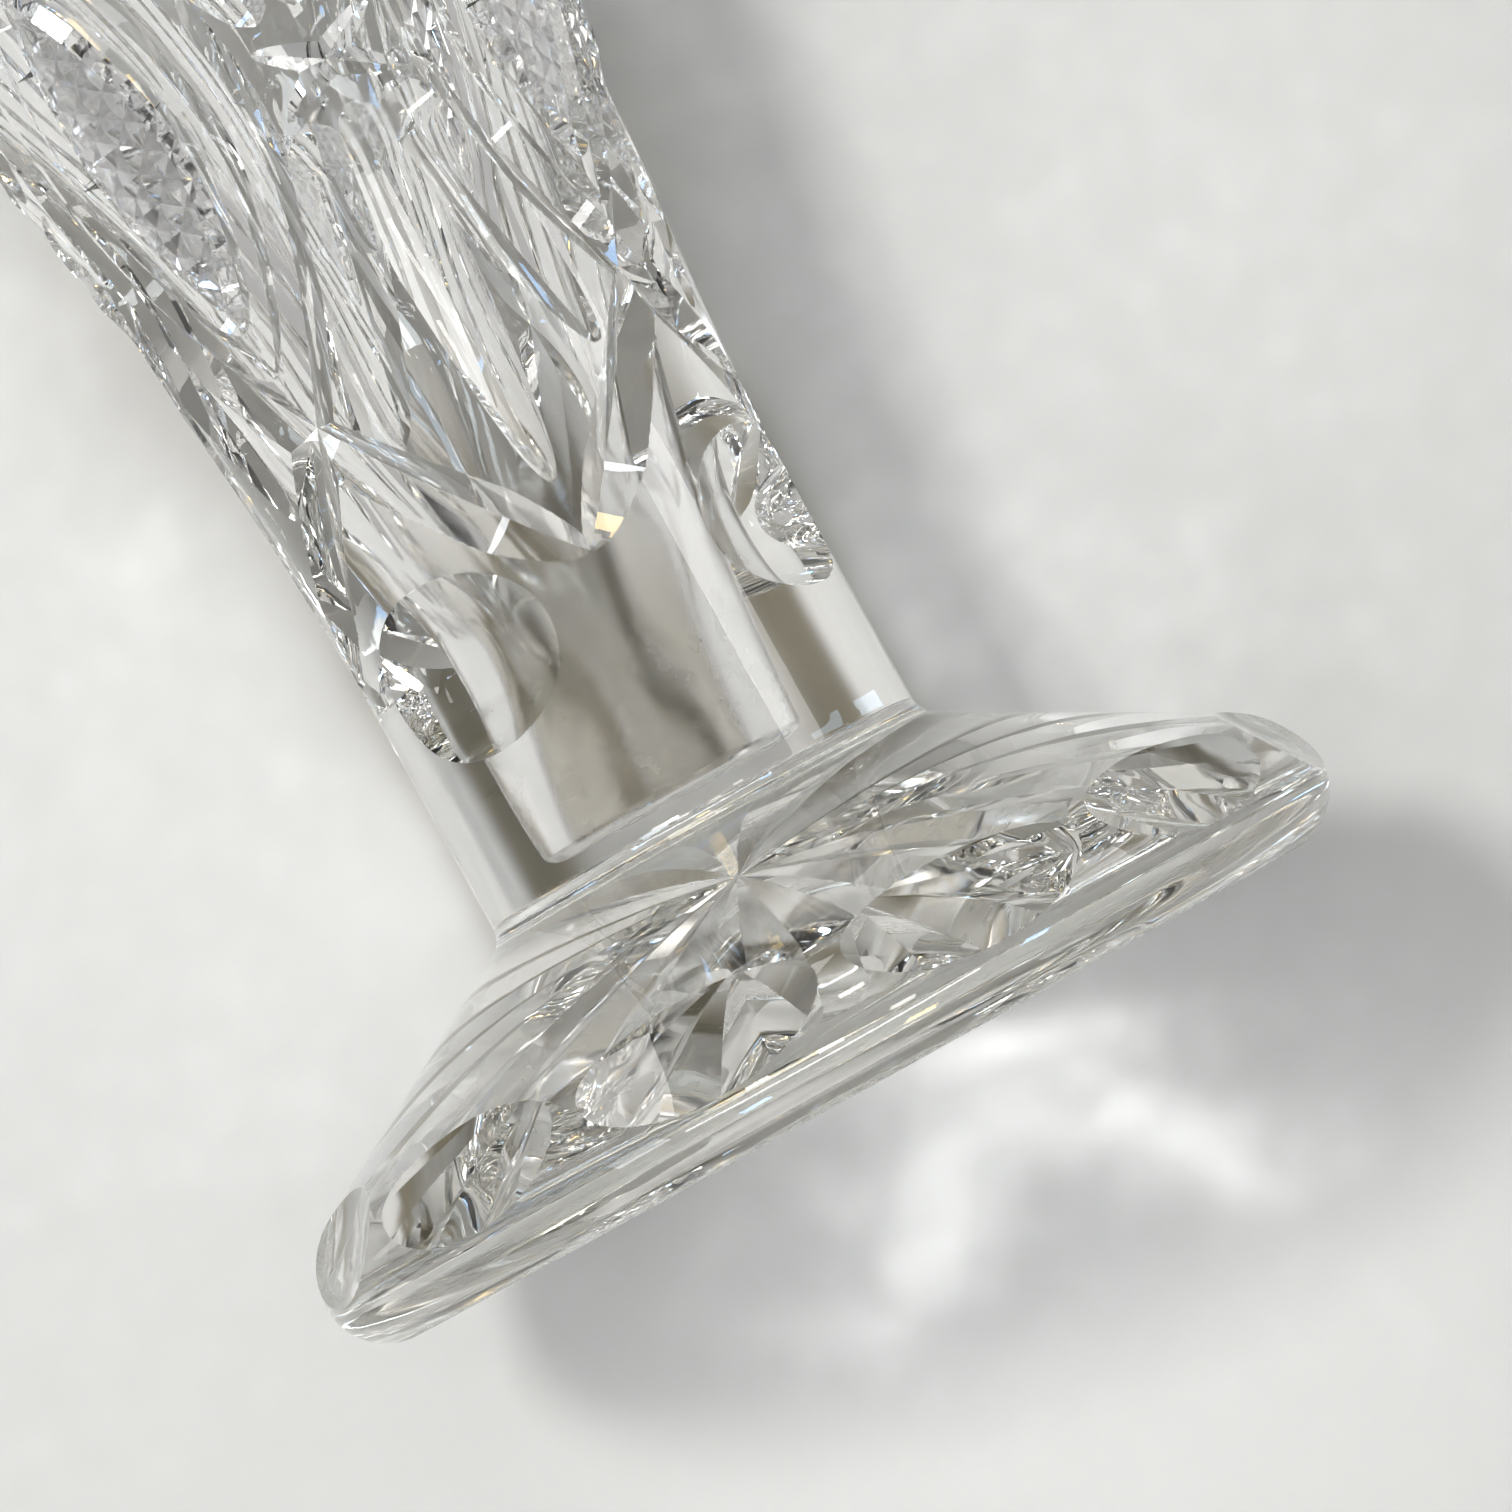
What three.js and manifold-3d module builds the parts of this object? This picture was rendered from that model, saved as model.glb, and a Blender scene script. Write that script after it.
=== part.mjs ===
// A cut crystal trumpet vase: a heavy bowl drawn down into a stem, joined hot to a cone-shaped foot.
// Millimetres, +Z up. The origin is the centre of the ring that the foot rests on.
import * as THREE from "three";
import { mergeVertices } from "three/addons/utils/BufferGeometryUtils.js";
import Module from "manifold-3d";

const wasm = await Module();
wasm.setup();

// Blown shape of the body
const vaseHeight = 200;
const stemRadius = 23.3;
const mouthRadius = 58.5;
const flareStart = 50;
const lipWall = 5;
const lipRounding = 1.6;
const boreRadius = 9.3;
const boreFloor = 33;
const boreCorner = 1.4;
const boreFlareStart = 44;
const boreFlare = 1.6;

// Blown shape of the foot
const footRadius = 55;
const rimUpperRadius = 8.6;
const rimLowerRadius = 6.4;
const restWidth = 3.6;
const neckFillet = 3;
const jointHeight = 31;

// How far a cutter stands off the glass, and how much of a cut is left at its tip
const cutterClearance = 1.5;
const tipSize = 0.01;

// Cutting on the foot
const facetCount = 12;
const facetDepth = 2.1;
const facetLean = 34;
const facetTurn = 11.7;
const facetBall = 90;
const starRays = 20;
const starTurn = 5.5;
const starHeight = 5.8;
const starSlope = 0.25;
const starRunOut = 9;

// Cutting on the body, which repeats round the vase
const panelCount = 4;
const puntyTurns = [2.4, 100, 186, 274];
const puntyHeight = 53;
const puntyTall = 17.2;
const puntyWide = 21;
const puntyDepth = 3;
const upperPuntyDepth = 1.9;
const puntyBall = 3;
const mitreStart = 56.5;
const mitreLowerReach = [1.5, 20];
const mitreUpperReach = 16;
const mitreDepth = 2;
const mitreOuterFace = 4.2;
const mitreInnerFace = 3;
const mitreNarrowing = 0.35;
const mitreRun = 0.06;
const waistHeight = 108.3;
const waistHalfAngle = 19.5;
const upperStretch = 1.25;
const borderGaps = [3.8, 6.8];
const borderDepth = 0.9;
const borderFace = 1.6;
const borderRun = 0.1;
const fanCuts = 3;
const fanTopPitch = 4.2;
const fanBottomPitch = 10.9;
const fanTop = 4.5;
const fanBottom = 64;
const fanStep = 9.8;
const fanDepth = 1.9;
const fanFace = 4.3;
const fanRunIn = 0.6;
const fanRunOut = 0.15;
const crossArm = 7;
const crossTilt = 30;
const crossDepth = 1.1;
const crossFace = 1.5;
const crossRun = 0.4;
const lipScallops = 16;
const scallopDepth = 2.6;

// Smoothness of the faceted solids
const bodySides = 36;
const footSides = 60;
const outerSteps = 12;
const innerSteps = 10;
const arcSteps = 5;
const mitreSteps = 18;
const borderSteps = 8;
const fanSteps = 6;
const crossSteps = 6;
const puntySides = 20;
const puntyRings = 14;
const scallopSides = 48;
const facetSides = 80;
const facetRings = 60;
const starRings = 5;
const outerSpacing = 0.85;
const slopeStep = 1;
const startSearch = 100;

const degrees = Math.PI / 180;
const panelAngle = 360 / panelCount;
const glass = { color: 0xe6e8e4, roughness: 0.04, metalness: 0 };

// Whole numbers from 0 up to one less than a count.
const counted = (count) => Array.from({ length: count }, (_, i) => i);

// Outer radius of the blown body at a height.
function bodyRadius(height) {
  const rise = Math.max(0, height - flareStart) / (vaseHeight - flareStart);
  return stemRadius + (mouthRadius - stemRadius) * rise ** 2;
}

// Radius of the bore at a height: straight at first, then widening faster than the outside, so the
// wall thins to the lip.
function innerRadius(height) {
  const rise = Math.max(0, height - boreFlareStart) / (vaseHeight - boreFlareStart);
  return boreRadius + (mouthRadius - lipWall - boreRadius) * rise ** boreFlare;
}

// Points on an arc about a centre, from one angle to another in degrees.
function arc(centreX, centreY, radius, from, to) {
  return counted(arcSteps + 1).map((i) => {
    const angle = (from + ((to - from) * i) / arcSteps) * degrees;
    return new THREE.Vector2(centreX + radius * Math.cos(angle), centreY + radius * Math.sin(angle));
  });
}

// A closed three.js geometry as a solid that can be cut.
function toSolid(geometry) {
  const bare = geometry.clone();
  bare.deleteAttribute("normal");
  bare.deleteAttribute("uv");
  const merged = mergeVertices(bare, 1e-5);
  const corners = [];
  for (let i = 0; i < merged.index.count; i += 3) {
    const [a, b, c] = [0, 1, 2].map((step) => merged.index.getX(i + step));
    if (a !== b && b !== c && c !== a) corners.push(a, b, c);
  }
  return new wasm.Manifold(new wasm.Mesh({
    numProp: 3,
    vertProperties: new Float32Array(merged.attributes.position.array),
    triVerts: new Uint32Array(corners),
  }));
}

// A solid back as a three.js geometry, with a normal for each face.
function toGeometry(solid) {
  const { vertProperties, triVerts } = solid.getMesh();
  const geometry = new THREE.BufferGeometry();
  geometry.setAttribute("position", new THREE.BufferAttribute(new Float32Array(vertProperties), 3));
  geometry.setIndex(new THREE.BufferAttribute(new Uint32Array(triVerts), 1));
  const faceted = geometry.toNonIndexed();
  faceted.computeVertexNormals();
  return faceted;
}

// A turned solid with its axis along +Z, from a profile that starts and ends on the axis.
function turned(profile, sides) {
  return toSolid(new THREE.LatheGeometry(profile, sides).rotateX(Math.PI / 2));
}

// A solid with every cutter in a list taken out of it, without the slivers that the cuts free.
function cutAll(solid, cutters) {
  const pieces = cutters.reduce((rest, cutter) => rest.subtract(cutter), solid).decompose();
  return pieces.reduce((largest, piece) => (piece.volume() > largest.volume() ? piece : largest));
}

// The blown body: the stem's flat end, the outside up to the rounded lip, and the bore down inside
// to its flat floor.
function blownBody() {
  const top = vaseHeight - lipRounding;
  const outside = counted(outerSteps + 1).map((i) => {
    const height = flareStart + (top - flareStart) * (i / outerSteps) ** outerSpacing;
    return new THREE.Vector2(bodyRadius(height), height);
  });
  const inside = counted(innerSteps + 1).map((i) => {
    const height = boreFlareStart + (top - boreFlareStart) * (1 - i / innerSteps);
    return new THREE.Vector2(innerRadius(height), height);
  });
  const corner = arc(boreRadius - boreCorner, boreFloor + boreCorner, boreCorner, 0, -90);
  return turned([
    new THREE.Vector2(0, jointHeight),
    new THREE.Vector2(stemRadius, jointHeight),
    ...outside,
    new THREE.Vector2(mouthRadius - lipRounding, vaseHeight),
    new THREE.Vector2(mouthRadius - lipWall + lipRounding, vaseHeight),
    ...inside,
    ...corner,
    new THREE.Vector2(0, boreFloor),
  ], bodySides);
}

// A point on the blown body's outside, and the direction out of the glass there.
function onBody(angle, height) {
  const slope = (bodyRadius(height + slopeStep / 2) - bodyRadius(height - slopeStep / 2)) / slopeStep;
  const outward = new THREE.Vector3(Math.cos(angle * degrees), Math.sin(angle * degrees), 0);
  const point = outward.clone().multiplyScalar(bodyRadius(height)).setZ(height);
  return { point, normal: outward.setZ(-slope).normalize() };
}

// The angle in degrees that a length round the body covers at a height.
function angleOf(length, height) {
  return length / bodyRadius(height) / degrees;
}

// Heights in the upper half of the pattern mirror those below the waist, stretched with the flare.
function mirrored(height) {
  return waistHeight + (waistHeight - height) * upperStretch;
}

// A cut by a V-edged wheel along a path, which gives angle and height for 0 to 1. The groove has a
// depth and a face on each side. It narrows in mid path, and comes out of the glass at its ends,
// over a run that is a share of its length.
function wheelCut({ path, depth, left, right, steps, runIn, runOut = runIn, narrowing = 0 }) {
  const points = [];
  const spots = counted(steps + 1).map((i) => onBody(...path(i / steps)));
  spots.forEach(({ point, normal }, i) => {
    const before = spots[Math.max(0, i - 1)].point;
    const after = spots[Math.min(steps, i + 1)].point;
    const across = new THREE.Vector3().subVectors(after, before).cross(normal).normalize();
    const fromEnd = Math.min(i / steps / runIn, (1 - i / steps) / runOut);
    const waist = 1 - narrowing * Math.sin((Math.PI * i) / steps);
    const size = waist * Math.sqrt(Math.min(1, tipSize + fromEnd));
    const reach = size + cutterClearance / depth;
    const above = point.clone().addScaledVector(normal, cutterClearance);
    points.push(
      point.clone().addScaledVector(normal, -depth * size),
      above.clone().addScaledVector(across, right * reach),
      above.clone().addScaledVector(across, -left * reach),
    );
  });
  const faces = [0, 1, 2];
  for (const ring of counted(steps)) {
    for (const side of counted(3)) {
      const a = ring * 3 + side;
      const b = ring * 3 + ((side + 1) % 3);
      faces.push(a, a + 3, b, b, a + 3, b + 3);
    }
  }
  faces.push(steps * 3, steps * 3 + 2, steps * 3 + 1);
  const geometry = new THREE.BufferGeometry().setFromPoints(points);
  geometry.setIndex(faces);
  return toSolid(geometry);
}

// The main mitre's lower half, as angle from a pointed panel's middle line against height: from the
// tip midway between two panels, across the middle line, and up to the panel's side at the waist.
const waistEdge = panelAngle / 2 - waistHalfAngle;
const mitreCurve = new THREE.CubicBezierCurve(
  new THREE.Vector2(panelAngle / 2, mitreStart),
  new THREE.Vector2(mitreLowerReach[0], mitreStart + mitreLowerReach[1]),
  new THREE.Vector2(-waistEdge, waistHeight - mitreUpperReach),
  new THREE.Vector2(-waistEdge, waistHeight),
);

// The whole mitre on one side of a panel: the lower half, then the mirrored upper half.
function mitrePath(middle, side) {
  return (t) => {
    const spot = mitreCurve.getPoint(t < 0.5 ? 2 * t : 2 - 2 * t);
    return [middle + side * spot.x, t < 0.5 ? spot.y : mirrored(spot.y)];
  };
}

// A border cut a gap inside it, from the panel's lower point to its upper one.
function borderPath(middle, side, gap) {
  const inward = (spot) => spot.x + angleOf(gap, spot.y);
  const shares = counted(startSearch).map((i) => i / startSearch);
  const start = shares.find((t) => inward(mitreCurve.getPoint(t)) < 0);
  return (t) => {
    const half = t < 0.5 ? 2 * t : 2 - 2 * t;
    const spot = mitreCurve.getPoint(start + (1 - start) * half);
    return [middle + side * inward(spot), t < 0.5 ? spot.y : mirrored(spot.y)];
  };
}

// One cut of the fan between two panels, below the cross or mirrored above it.
function fanPath(middle, step, turn) {
  const top = waistHeight - fanTop;
  const bottom = fanBottom + fanStep * Math.abs(step);
  return (t) => {
    const height = bottom + (top - bottom) * t;
    const offset = step * (fanBottomPitch + (fanTopPitch - fanBottomPitch) * t);
    return [middle + angleOf(offset, height), turn(height)];
  };
}

// One arm of the cross at the waist.
function crossPath(middle, side) {
  const rise = crossArm * Math.sin(crossTilt * degrees);
  const width = angleOf(crossArm * Math.cos(crossTilt * degrees), waistHeight);
  return (t) => [middle + width * (2 * t - 1), waistHeight + side * rise * (2 * t - 1)];
}

// A punty: a shallow oval hollow, wider than it is tall, ground square to the glass by a broad wheel.
// The wheel's own radius into the glass is the punty's depth times a number.
function punty(angle, height, depth) {
  const { point, normal } = onBody(angle, height);
  const around = new THREE.Vector3(-Math.sin(angle * degrees), Math.cos(angle * degrees), 0);
  const along = new THREE.Vector3().crossVectors(normal, around);
  const radius = bodyRadius(height);
  const bulge = radius - Math.sqrt(radius ** 2 - (puntyWide / 2) ** 2);
  const deepRadius = puntyBall * depth;
  const openAt = (level) => Math.sqrt(1 - (level / deepRadius) ** 2);
  const wideRadius = puntyWide / 2 / openAt(deepRadius - depth + bulge);
  const tallRadius = puntyTall / 2 / openAt(deepRadius - depth);
  const shape = new THREE.SphereGeometry(1, puntySides, puntyRings)
    .scale(deepRadius, wideRadius, tallRadius)
    .translate(deepRadius - depth, 0, 0)
    .applyMatrix4(new THREE.Matrix4().makeBasis(normal, around, along).setPosition(point));
  return toSolid(shape);
}

// Round cuts across the top of the lip, which meet in points.
function scallop(index) {
  const half = (mouthRadius * Math.PI) / lipScallops;
  const radius = (half ** 2 + scallopDepth ** 2) / (2 * scallopDepth);
  const shape = new THREE.CylinderGeometry(radius, radius, mouthRadius, scallopSides)
    .rotateZ(Math.PI / 2)
    .translate(mouthRadius, 0, vaseHeight - scallopDepth + radius)
    .rotateZ((2 * Math.PI * (index + 0.5)) / lipScallops);
  return toSolid(shape);
}

// Everything cut into one panel: its two mitres, the borders inside them, and its upper punty.
function panelCuts(middle) {
  const cuts = [punty(middle, mirrored(puntyHeight), upperPuntyDepth)];
  for (const side of [1, -1]) {
    const [left, right] = side > 0 ? [mitreOuterFace, mitreInnerFace] : [mitreInnerFace, mitreOuterFace];
    cuts.push(wheelCut({
      path: mitrePath(middle, side), depth: mitreDepth, left, right,
      steps: mitreSteps, runIn: mitreRun, narrowing: mitreNarrowing,
    }));
    for (const gap of borderGaps) {
      cuts.push(wheelCut({
        path: borderPath(middle, side, gap), depth: borderDepth, left: borderFace, right: borderFace,
        steps: borderSteps, runIn: borderRun,
      }));
    }
  }
  return cuts;
}

// Everything cut between two panels: the cross, the fan below it and its mirror image above.
function fanCutsBetween(middle) {
  const arms = [1, -1].map((side) => wheelCut({
    path: crossPath(middle, side), depth: crossDepth, left: crossFace, right: crossFace,
    steps: crossSteps, runIn: crossRun,
  }));
  const blades = counted(fanCuts).flatMap((index) => [(height) => height, mirrored].map((turn) => wheelCut({
    path: fanPath(middle, index - (fanCuts - 1) / 2, turn), depth: fanDepth, left: fanFace, right: fanFace,
    steps: fanSteps, runIn: fanRunIn, runOut: fanRunOut,
  })));
  return [...arms, ...blades];
}

function trumpetBody() {
  const middles = counted(panelCount).map((panel) => panel * panelAngle);
  return cutAll(blownBody(), [
    ...counted(lipScallops).map(scallop),
    ...puntyTurns.map((turn) => punty(turn, puntyHeight, puntyDepth)),
    ...middles.flatMap(panelCuts),
    ...middles.flatMap((middle) => fanCutsBetween(middle + panelAngle / 2)),
  ]);
}

// The blown foot: neck fillet, straight cone, round rim and the flat ring it rests on.
function blownFoot() {
  const filletX = stemRadius + neckFillet;
  const upperX = footRadius - rimUpperRadius;
  const lowerX = footRadius - rimLowerRadius;
  const [run, drop] = [upperX - filletX, jointHeight - rimLowerRadius];
  const cone = Math.acos((neckFillet + rimUpperRadius) / Math.hypot(run, drop)) - Math.atan2(run, drop);
  return turned([
    new THREE.Vector2(0, 0),
    ...arc(lowerX, rimLowerRadius, rimLowerRadius, -90, 0).slice(0, -1),
    ...arc(upperX, rimLowerRadius, rimUpperRadius, 0, 90 - cone / degrees),
    ...arc(filletX, jointHeight, neckFillet, 270 - cone / degrees, 180),
    new THREE.Vector2(0, jointHeight),
  ], footSides);
}

// A facet ground a little hollow on the shoulder: a slice of a large ball that leans outward.
function facet(index) {
  const shape = new THREE.SphereGeometry(facetBall, facetSides, facetRings)
    .translate(rimUpperRadius - facetDepth + facetBall, 0, 0)
    .rotateY(-facetLean * degrees)
    .translate(footRadius - rimUpperRadius, 0, rimLowerRadius)
    .rotateZ((facetTurn + (360 * (index + 0.5)) / facetCount) * degrees);
  return toSolid(shape);
}

// The hollow under the foot: a shallow dish with a star of rays cut in it. Each ray rises from the
// ridge beside it to its own middle line, and runs out at the resting ring.
function starHollow() {
  const outer = footRadius - rimLowerRadius - restWidth;
  const count = 2 * starRays;
  const heightAt = (radius, i) => {
    const dish = starHeight * (1 - (radius / outer) ** 2);
    const lift = starSlope * radius * Math.sin(Math.PI / starRays);
    const end = Math.sqrt(Math.min(1, (outer - radius) / starRunOut));
    return dish + (i % 2 ? lift * end : 0);
  };
  const radii = counted(starRings).map((i) => (outer * (i + 1)) / starRings);
  const ring = (radius, heightOf) => counted(count).map((i) => {
    const angle = (starTurn + (360 * i) / count) * degrees;
    return new THREE.Vector3(radius * Math.cos(angle), radius * Math.sin(angle), heightOf(i));
  });
  const points = [
    new THREE.Vector3(0, 0, starHeight),
    ...radii.flatMap((radius) => ring(radius, (i) => heightAt(radius, i))),
    ...ring(outer, () => -cutterClearance),
    new THREE.Vector3(0, 0, -cutterClearance),
  ];
  const faces = [];
  for (const i of counted(count)) {
    const next = (i + 1) % count;
    faces.push(0, 1 + i, 1 + next);
    for (const level of counted(starRings).map((step) => 1 + step * count)) {
      faces.push(level + i, level + count + i, level + next);
      faces.push(level + next, level + count + i, level + count + next);
    }
    const last = 1 + starRings * count;
    faces.push(last + i, points.length - 1, last + next);
  }
  const geometry = new THREE.BufferGeometry().setFromPoints(points);
  geometry.setIndex(faces);
  return toSolid(geometry);
}

function foot() {
  return cutAll(blownFoot(), [starHollow(), ...counted(facetCount).map(facet)]);
}

function namedMesh(name, solid) {
  const mesh = new THREE.Mesh(toGeometry(solid), new THREE.MeshStandardMaterial(glass));
  mesh.name = name;
  return mesh;
}

const vase = new THREE.Group();
vase.add(namedMesh("trumpet_body", trumpetBody()), namedMesh("foot", foot()));

export default vase;
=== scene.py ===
# %% [markdown]
# # A cut crystal trumpet vase
# The vase is lead crystal: a thick stem that flares to the mouth, joined hot to a cone-shaped
# foot. Everything that catches the light on it was ground away by wheels after it was blown:
# hollow punties, long crossing mitres, fans, crosses, panels of diamonds, a star under the foot
# and facets round its shoulder. This lesson makes the blown shape first, then each family of
# cuts as a solid of its own, takes them all away, and lays the vase on a sheet of pale paper.

# %% The frame that everything is built in
import math
import bpy
import numpy as np
from mathutils import Matrix, Vector
from mathutils.bvhtree import BVHTree


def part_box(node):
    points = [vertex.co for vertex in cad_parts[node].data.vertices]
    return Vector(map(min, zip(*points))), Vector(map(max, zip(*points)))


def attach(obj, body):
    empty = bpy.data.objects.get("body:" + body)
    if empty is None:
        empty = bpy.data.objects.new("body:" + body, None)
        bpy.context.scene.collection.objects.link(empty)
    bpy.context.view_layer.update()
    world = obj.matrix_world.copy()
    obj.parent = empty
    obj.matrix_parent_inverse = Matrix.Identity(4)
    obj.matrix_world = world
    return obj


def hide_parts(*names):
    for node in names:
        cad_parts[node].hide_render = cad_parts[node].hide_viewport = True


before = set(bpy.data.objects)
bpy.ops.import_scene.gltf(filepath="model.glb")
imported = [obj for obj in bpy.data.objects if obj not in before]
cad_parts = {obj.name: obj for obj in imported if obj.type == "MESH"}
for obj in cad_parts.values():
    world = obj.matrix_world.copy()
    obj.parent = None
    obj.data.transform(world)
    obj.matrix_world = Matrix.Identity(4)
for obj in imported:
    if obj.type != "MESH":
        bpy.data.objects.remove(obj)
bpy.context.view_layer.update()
mm = 0.001
foot_low, foot_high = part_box("foot")
print("foot from", foot_low[:], "to", foot_high[:])

# %% [markdown]
# ## Camera
# The camera looks across the vase from the height of its foot, at the gap between two punties,
# and is rolled so that the vase leans to the left. A long lens keeps the foot's rings flat.

# %% Camera
camera_azimuth = 38.1
camera_distance = 583.6
camera_height = 2.5
camera_tilt = 3.02
camera_yaw = 0.71
camera_roll = 28.98
focal_pixels = 6000
frame_pixels = 1512
sensor_width = 36
nearest_seen = 0.01

azimuth = math.radians(camera_azimuth)
towards_camera = Vector((math.cos(azimuth), math.sin(azimuth), 0))
rightwards = Vector((-math.sin(azimuth), math.cos(azimuth), 0))


def camera_axes(tilt, yaw, roll):
    """Right, up and forward of a camera that first faces the vase, then looks up by a tilt, to
    the right by a yaw, and is turned clockwise about its own axis by a roll, in degrees."""
    tilt, yaw, roll = (math.radians(angle) for angle in (tilt, yaw, roll))
    up = Vector((0, 0, math.cos(tilt))) + towards_camera * math.sin(tilt)
    level = Vector((0, 0, math.sin(tilt))) - towards_camera * math.cos(tilt)
    forward = rightwards * math.sin(yaw) + level * math.cos(yaw)
    right = rightwards * math.cos(yaw) - level * math.sin(yaw)
    turned_right = right * math.cos(roll) - up * math.sin(roll)
    turned_up = right * math.sin(roll) + up * math.cos(roll)
    return turned_right, turned_up, forward


def add_object(name, data):
    """A mesh, lamp or camera as an object in the scene."""
    made = bpy.data.objects.new(name, data)
    bpy.context.scene.collection.objects.link(made)
    return made


def add_camera():
    """A camera from its axes, because its three angles are easier to read than a rotation."""
    right, up, forward = camera_axes(camera_tilt, camera_yaw, camera_roll)
    place = towards_camera * camera_distance + Vector((0, 0, camera_height))
    data = bpy.data.cameras.new("camera")
    data.sensor_width = sensor_width
    data.lens = focal_pixels / frame_pixels * sensor_width
    data.clip_start = nearest_seen
    camera = add_object("camera", data)
    turn = Matrix((right, up, -forward)).transposed().to_4x4()
    camera.matrix_world = Matrix.Translation(place * mm) @ turn
    bpy.context.scene.camera = camera
    return camera


camera = add_camera()
print("lens", round(camera.data.lens, 1), "mm")

# %% [markdown]
# ## Meshes from arrays
# Every shape here is worked out as a whole array of points and then given its faces. Most are
# grids, which need only their number of rows and columns. A closed solid is needed for cutting,
# so rings are joined round and ends are closed by a fan of triangles to a middle point.

# %% Helpers that turn arrays into meshes


def ring_faces(rings, count):
    """Faces of a tube of rings of points: row by row, each point is joined to the next one round
    and to the ring after, and both ends are closed to two extra points, first end then last."""
    index = np.arange(rings * count).reshape(rings, count)
    after = np.roll(index, -1, axis=1)
    sides = np.stack([index[:-1], after[:-1], after[1:], index[1:]], -1).reshape(-1, 4)
    first, last = rings * count, rings * count + 1
    start = np.stack([np.full(count, first), after[0], index[0]], -1)
    end = np.stack([np.full(count, last), index[-1], after[-1]], -1)
    return sides.tolist() + start.tolist() + end.tolist()


def tube(rings):
    """A closed solid from an array of rings by points by xyz, with the middle of each end ring
    added as the point that closes it."""
    middles = rings[[0, -1]].mean(axis=1)
    points = np.vstack([rings.reshape(-1, 3), middles])
    return points, ring_faces(*rings.shape[:2])


def joined(solids):
    """Several solids as one list of points and one of faces."""
    points, faces, offset = [], [], 0
    for some_points, some_faces in solids:
        points.append(some_points)
        faces += [[corner + offset for corner in face] for face in some_faces]
        offset += len(some_points)
    return np.vstack(points), faces


def turned_round(solid, angle):
    """A solid turned about the vase's axis by an angle in degrees."""
    points, faces = solid
    c, s = math.cos(math.radians(angle)), math.sin(math.radians(angle))
    return points @ np.array([[c, s, 0], [-s, c, 0], [0, 0, 1]]), faces


def add_mesh(name, solid):
    """A Blender object of a solid whose points are in millimetres."""
    points, faces = solid
    mesh = bpy.data.meshes.new(name)
    mesh.from_pydata((points * mm).tolist(), [], faces)
    mesh.validate()
    return add_object(name, mesh)


def points_of(mesh):
    """A mesh's points in millimetres, read as one array."""
    points = np.empty(len(mesh.vertices) * 3)
    mesh.vertices.foreach_get("co", points)
    return points.reshape(-1, 3) / mm


print("a tube of 3 rings of 4 points has", len(ring_faces(3, 4)), "faces")

# %% [markdown]
# ## The blown shape
# On the real vase the body is one gather of glass and the foot another, welded while hot, so
# light passes from one to the other as if there were no joint. The two are one closed surface
# of revolution here: under the foot, round its rim, up the cone and the stem to the lip, and
# down inside the bore. The flare is a parabola, the bore widens as a power of the height, and
# all else is arcs and straight lines.

# %% Stretches of an outline


def arc(centre_x, centre_y, radius, start, end, steps):
    """Points on a circle about a centre, from one angle in degrees to another."""
    angle = np.radians(np.linspace(start, end, steps + 1))
    return np.stack([centre_x + radius * np.cos(angle), centre_y + radius * np.sin(angle)], -1)


def upright(radii, heights):
    """Profile points from radii and heights."""
    return np.stack([radii, heights], -1)


print("a quarter circle in two steps:", arc(0, 0, 1, 0, 90, 2).round(2).tolist())

# %% [markdown]
# The foot is a solid cone with a thick round rim. A lathe's tool would follow its outline: out
# under the foot, round two arcs, up a straight line that touches the second one, and through a
# small arc into the neck. Each stretch starts where the last one ended.

# %% Outline of the foot, in millimetres
foot_radius = 55
rim_upper_radius = 8.6
rim_lower_radius = 6.4
stem_radius = 23.3
joint_height = foot_high.z / mm
neck_fillet = 3
under_start = 2
rim_steps = 12
cone_steps = 14
neck_steps = 10


def foot_profile():
    """The foot's outline from under the axis to the neck: a flat underside, the lower and upper
    arcs of the rim, and the straight cone that touches the rim's arc and the neck's arc."""
    fillet_x = stem_radius + neck_fillet
    upper_x = foot_radius - rim_upper_radius
    lower_x = foot_radius - rim_lower_radius
    run, drop = upper_x - fillet_x, joint_height - rim_lower_radius
    touch = math.acos((neck_fillet + rim_upper_radius) / math.hypot(run, drop))
    cone = math.degrees(touch - math.atan2(run, drop))
    radii = np.linspace(under_start, lower_x, rim_steps)[:-1]
    under = upright(radii, 0 * radii)
    lower = arc(lower_x, rim_lower_radius, rim_lower_radius, -90, 0, rim_steps)[:-1]
    upper = arc(upper_x, rim_lower_radius, rim_upper_radius, 0, 90 - cone, rim_steps)
    neck = arc(fillet_x, joint_height, neck_fillet, 270 - cone, 180, neck_steps)
    between = (np.arange(1, cone_steps) / cone_steps)[:, None]
    cone_line = upper[-1] + (neck[0] - upper[-1]) * between
    return np.vstack([under, lower, upper, cone_line, neck])


print("the foot's outline has", len(foot_profile()), "points")

# %% [markdown]
# The body goes on from the neck: the straight stem, the flare, the rounded lip, and the bore down
# to its flat floor. The two radii are functions of the height, because the cuts need them too.

# %% Outline of the body
vase_height = 200
mouth_radius = 58.5
flare_start = 50
lip_wall = 5
lip_rounding = 1.6
bore_radius = 9.3
bore_floor = 33
bore_corner = 1.4
bore_flare_start = 44
bore_flare = 1.6
floor_end = 1
stem_steps = 10
flare_steps = 70
bore_steps = 60
straight_steps = 12
floor_steps = 6


def body_radius(height):
    """Stem radius below the flare, and above it the stem's radius plus a parabola to the mouth."""
    rise = np.maximum(0, height - flare_start) / (vase_height - flare_start)
    return stem_radius + (mouth_radius - stem_radius) * rise**2


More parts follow.
